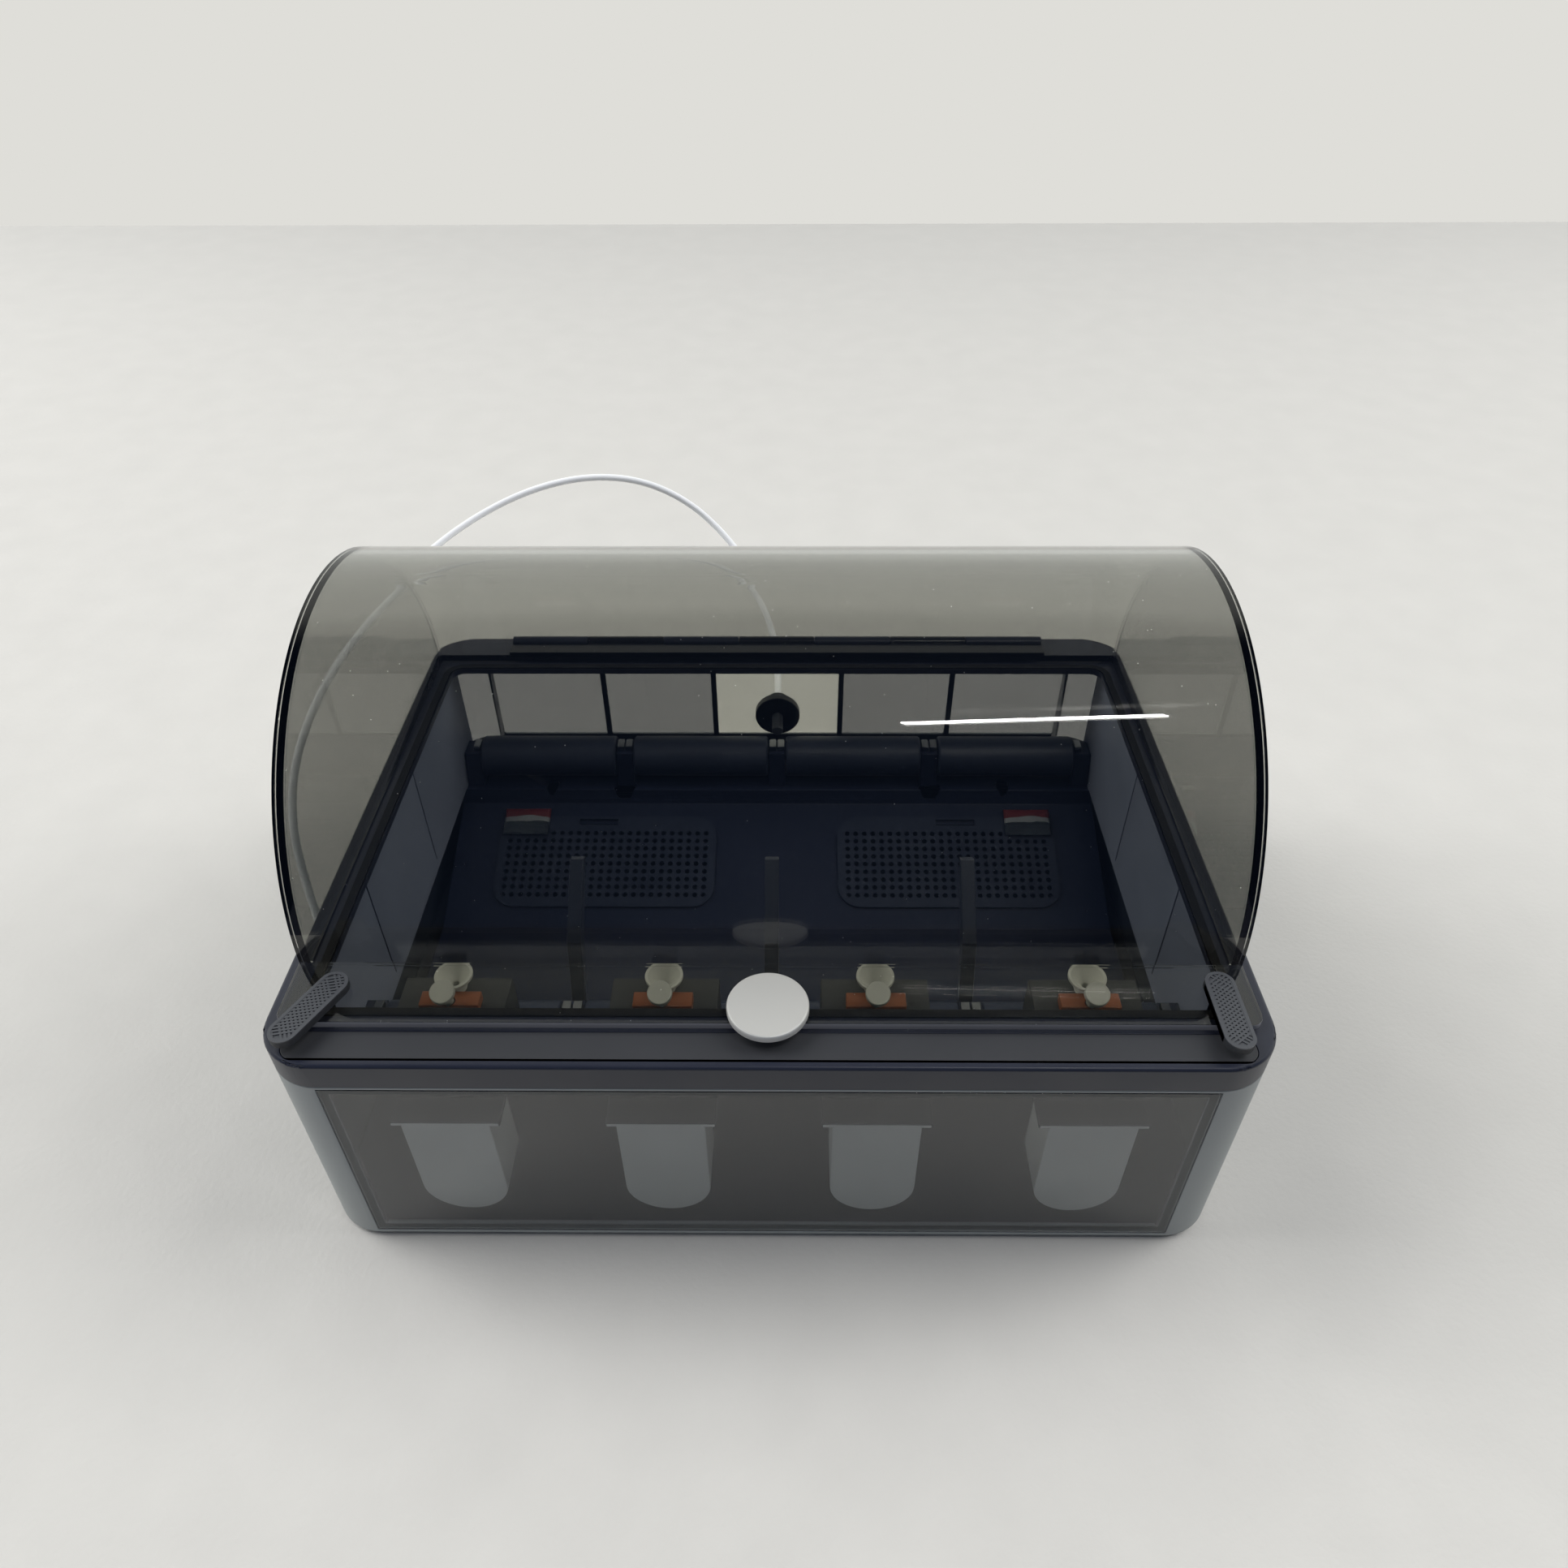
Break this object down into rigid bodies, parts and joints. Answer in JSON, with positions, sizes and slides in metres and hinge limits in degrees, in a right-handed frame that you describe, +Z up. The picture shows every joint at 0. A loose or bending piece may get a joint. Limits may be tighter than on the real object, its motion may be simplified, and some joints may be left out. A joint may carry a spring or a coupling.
{
  "type": "filament dry box",
  "caption": "Low rounded tub with a hinged half-round clear lid that keeps filament spools dry on roller bays and feeds their filament to a rear outlet tube.",
  "frame": {"origin": "under the middle of the box, on the plane that the feet stand on", "axes": "+Z up, front face toward -Y, +X to the right seen from the front"},
  "size_m": [0.4257, 0.4198, 0.224],
  "materials": {
    "shell_plastic": "satin moulded plastic",
    "smoked_pane": "smoked clear plastic",
    "outlet_pane": "light smoked clear plastic",
    "frame_plastic": "satin black plastic",
    "strip_plastic": "fine grained dark grey plastic",
    "seal_rubber": "soft seal",
    "foot_rubber": "rubber",
    "lid_clear": "tinted clear plastic",
    "trim_plastic": "black edge",
    "knob_metal": "satin anodised, bright chamfer",
    "latch_grip": "ribbed grip",
    "hinge_steel": "plain",
    "cradle_plastic": "black moulded plastic",
    "cover_plastic": "black moulded plastic",
    "sachet_film": "crinkled film",
    "roller_plastic": "black plastic",
    "clip_steel": "bright",
    "finger_plastic": "translucent grey",
    "feeder_plastic": "dark plastic",
    "motor_plastic": "light grey plastic",
    "funnel_plastic": "pale plastic",
    "button_plastic": "pale plastic",
    "idler_plastic": "orange brown plastic",
    "black_plastic": "black plastic",
    "stub_plastic": "grey plastic",
    "tube_clear": "translucent white tube"
  },
  "bodies": {
    "base": {"outer_shell": "shell_plastic", "socket_plate": "shell_plastic", "front_window": "smoked_pane", "rear_window": "smoked_pane", "outlet_panel": "outlet_pane", "top_frame": "frame_plastic", "hinge_bracket": "frame_plastic", "front_strip": "strip_plastic", "rim_seal": "seal_rubber", "rubber_feet": "foot_rubber", "hinge_pin": "hinge_steel", "spool_cradle": "cradle_plastic", "roller_stands": "cradle_plastic", "desiccant_cover_left": "cover_plastic", "desiccant_cover_right": "cover_plastic", "desiccant_sachets": "sachet_film", "bearing_clips": "clip_steel", "bay_fingers": "finger_plastic", "feeder_housing_1": "feeder_plastic", "feeder_housing_2": "feeder_plastic", "feeder_housing_3": "feeder_plastic", "feeder_housing_4": "feeder_plastic", "motor_cover_1": "motor_plastic", "motor_cover_2": "motor_plastic", "motor_cover_3": "motor_plastic", "motor_cover_4": "motor_plastic", "inlet_funnel_1": "funnel_plastic", "inlet_funnel_2": "funnel_plastic", "inlet_funnel_3": "funnel_plastic", "inlet_funnel_4": "funnel_plastic", "idler_blocks": "idler_plastic", "outlet_boss": "black_plastic", "tube_coupler": "black_plastic", "rear_socket": "black_plastic", "outlet_stub": "stub_plastic", "outlet_tube": "tube_clear"},
    "lid": {"lid_dome": "lid_clear", "lid_apron": "lid_clear", "lid_side_left": "lid_clear", "lid_side_right": "lid_clear", "lid_trims": "trim_plastic", "hinge_leaf": "trim_plastic", "lid_knob": "knob_metal"},
    "latch_left": {"latch_lever_left": "latch_grip"},
    "latch_right": {"latch_lever_right": "latch_grip"},
    "rear_roller_1": {"rear_roller_1": "roller_plastic"},
    "rear_roller_2": {"rear_roller_2": "roller_plastic"},
    "rear_roller_3": {"rear_roller_3": "roller_plastic"},
    "rear_roller_4": {"rear_roller_4": "roller_plastic"},
    "front_roller_1": {"front_roller_1": "roller_plastic"},
    "front_roller_2": {"front_roller_2": "roller_plastic"},
    "front_roller_3": {"front_roller_3": "roller_plastic"},
    "front_roller_4": {"front_roller_4": "roller_plastic"},
    "release_button_1": {"release_button_1": "button_plastic"},
    "release_button_2": {"release_button_2": "button_plastic"},
    "release_button_3": {"release_button_3": "button_plastic"},
    "release_button_4": {"release_button_4": "button_plastic"}
  },
  "joints": [
    {"name": "lid_hinge", "type": "hinge", "parent": "base", "child": "lid", "pos_m": [0, 0.13, 0.12], "axis": [-1, 0, 0], "range_deg": [0, 95]},
    {"name": "latch_left_turn", "type": "hinge", "parent": "lid", "child": "latch_left", "pos_m": [-0.166, -0.1205, 0.1198], "axis": [0, 0, 1], "range_deg": [0, 90]},
    {"name": "latch_right_turn", "type": "hinge", "parent": "lid", "child": "latch_right", "pos_m": [0.166, -0.1205, 0.1198], "axis": [0, 0, 1], "range_deg": [-90, 0]},
    {"name": "rear_roller_1_spin", "type": "hinge", "parent": "base", "child": "rear_roller_1", "pos_m": [-0.1245, 0.107, 0.059], "axis": [1, 0, 0], "continuous": true},
    {"name": "rear_roller_2_spin", "type": "hinge", "parent": "base", "child": "rear_roller_2", "pos_m": [-0.0415, 0.107, 0.059], "axis": [1, 0, 0], "continuous": true},
    {"name": "rear_roller_3_spin", "type": "hinge", "parent": "base", "child": "rear_roller_3", "pos_m": [0.0415, 0.107, 0.059], "axis": [1, 0, 0], "continuous": true},
    {"name": "rear_roller_4_spin", "type": "hinge", "parent": "base", "child": "rear_roller_4", "pos_m": [0.1245, 0.107, 0.059], "axis": [1, 0, 0], "continuous": true},
    {"name": "front_roller_1_spin", "type": "hinge", "parent": "base", "child": "front_roller_1", "pos_m": [-0.1245, -0.081, 0.064], "axis": [1, 0, 0], "continuous": true},
    {"name": "front_roller_2_spin", "type": "hinge", "parent": "base", "child": "front_roller_2", "pos_m": [-0.0415, -0.081, 0.064], "axis": [1, 0, 0], "continuous": true},
    {"name": "front_roller_3_spin", "type": "hinge", "parent": "base", "child": "front_roller_3", "pos_m": [0.0415, -0.081, 0.064], "axis": [1, 0, 0], "continuous": true},
    {"name": "front_roller_4_spin", "type": "hinge", "parent": "base", "child": "front_roller_4", "pos_m": [0.1245, -0.081, 0.064], "axis": [1, 0, 0], "continuous": true},
    {"name": "release_button_1_press", "type": "slide", "parent": "base", "child": "release_button_1", "axis": [0, 0.342, -0.9397], "range_m": [0, 0.003], "stiffness_N_per_m": 200},
    {"name": "release_button_2_press", "type": "slide", "parent": "base", "child": "release_button_2", "axis": [0, 0.342, -0.9397], "range_m": [0, 0.003], "stiffness_N_per_m": 200},
    {"name": "release_button_3_press", "type": "slide", "parent": "base", "child": "release_button_3", "axis": [0, 0.342, -0.9397], "range_m": [0, 0.003], "stiffness_N_per_m": 200},
    {"name": "release_button_4_press", "type": "slide", "parent": "base", "child": "release_button_4", "axis": [0, 0.342, -0.9397], "range_m": [0, 0.003], "stiffness_N_per_m": 200}
  ]
}
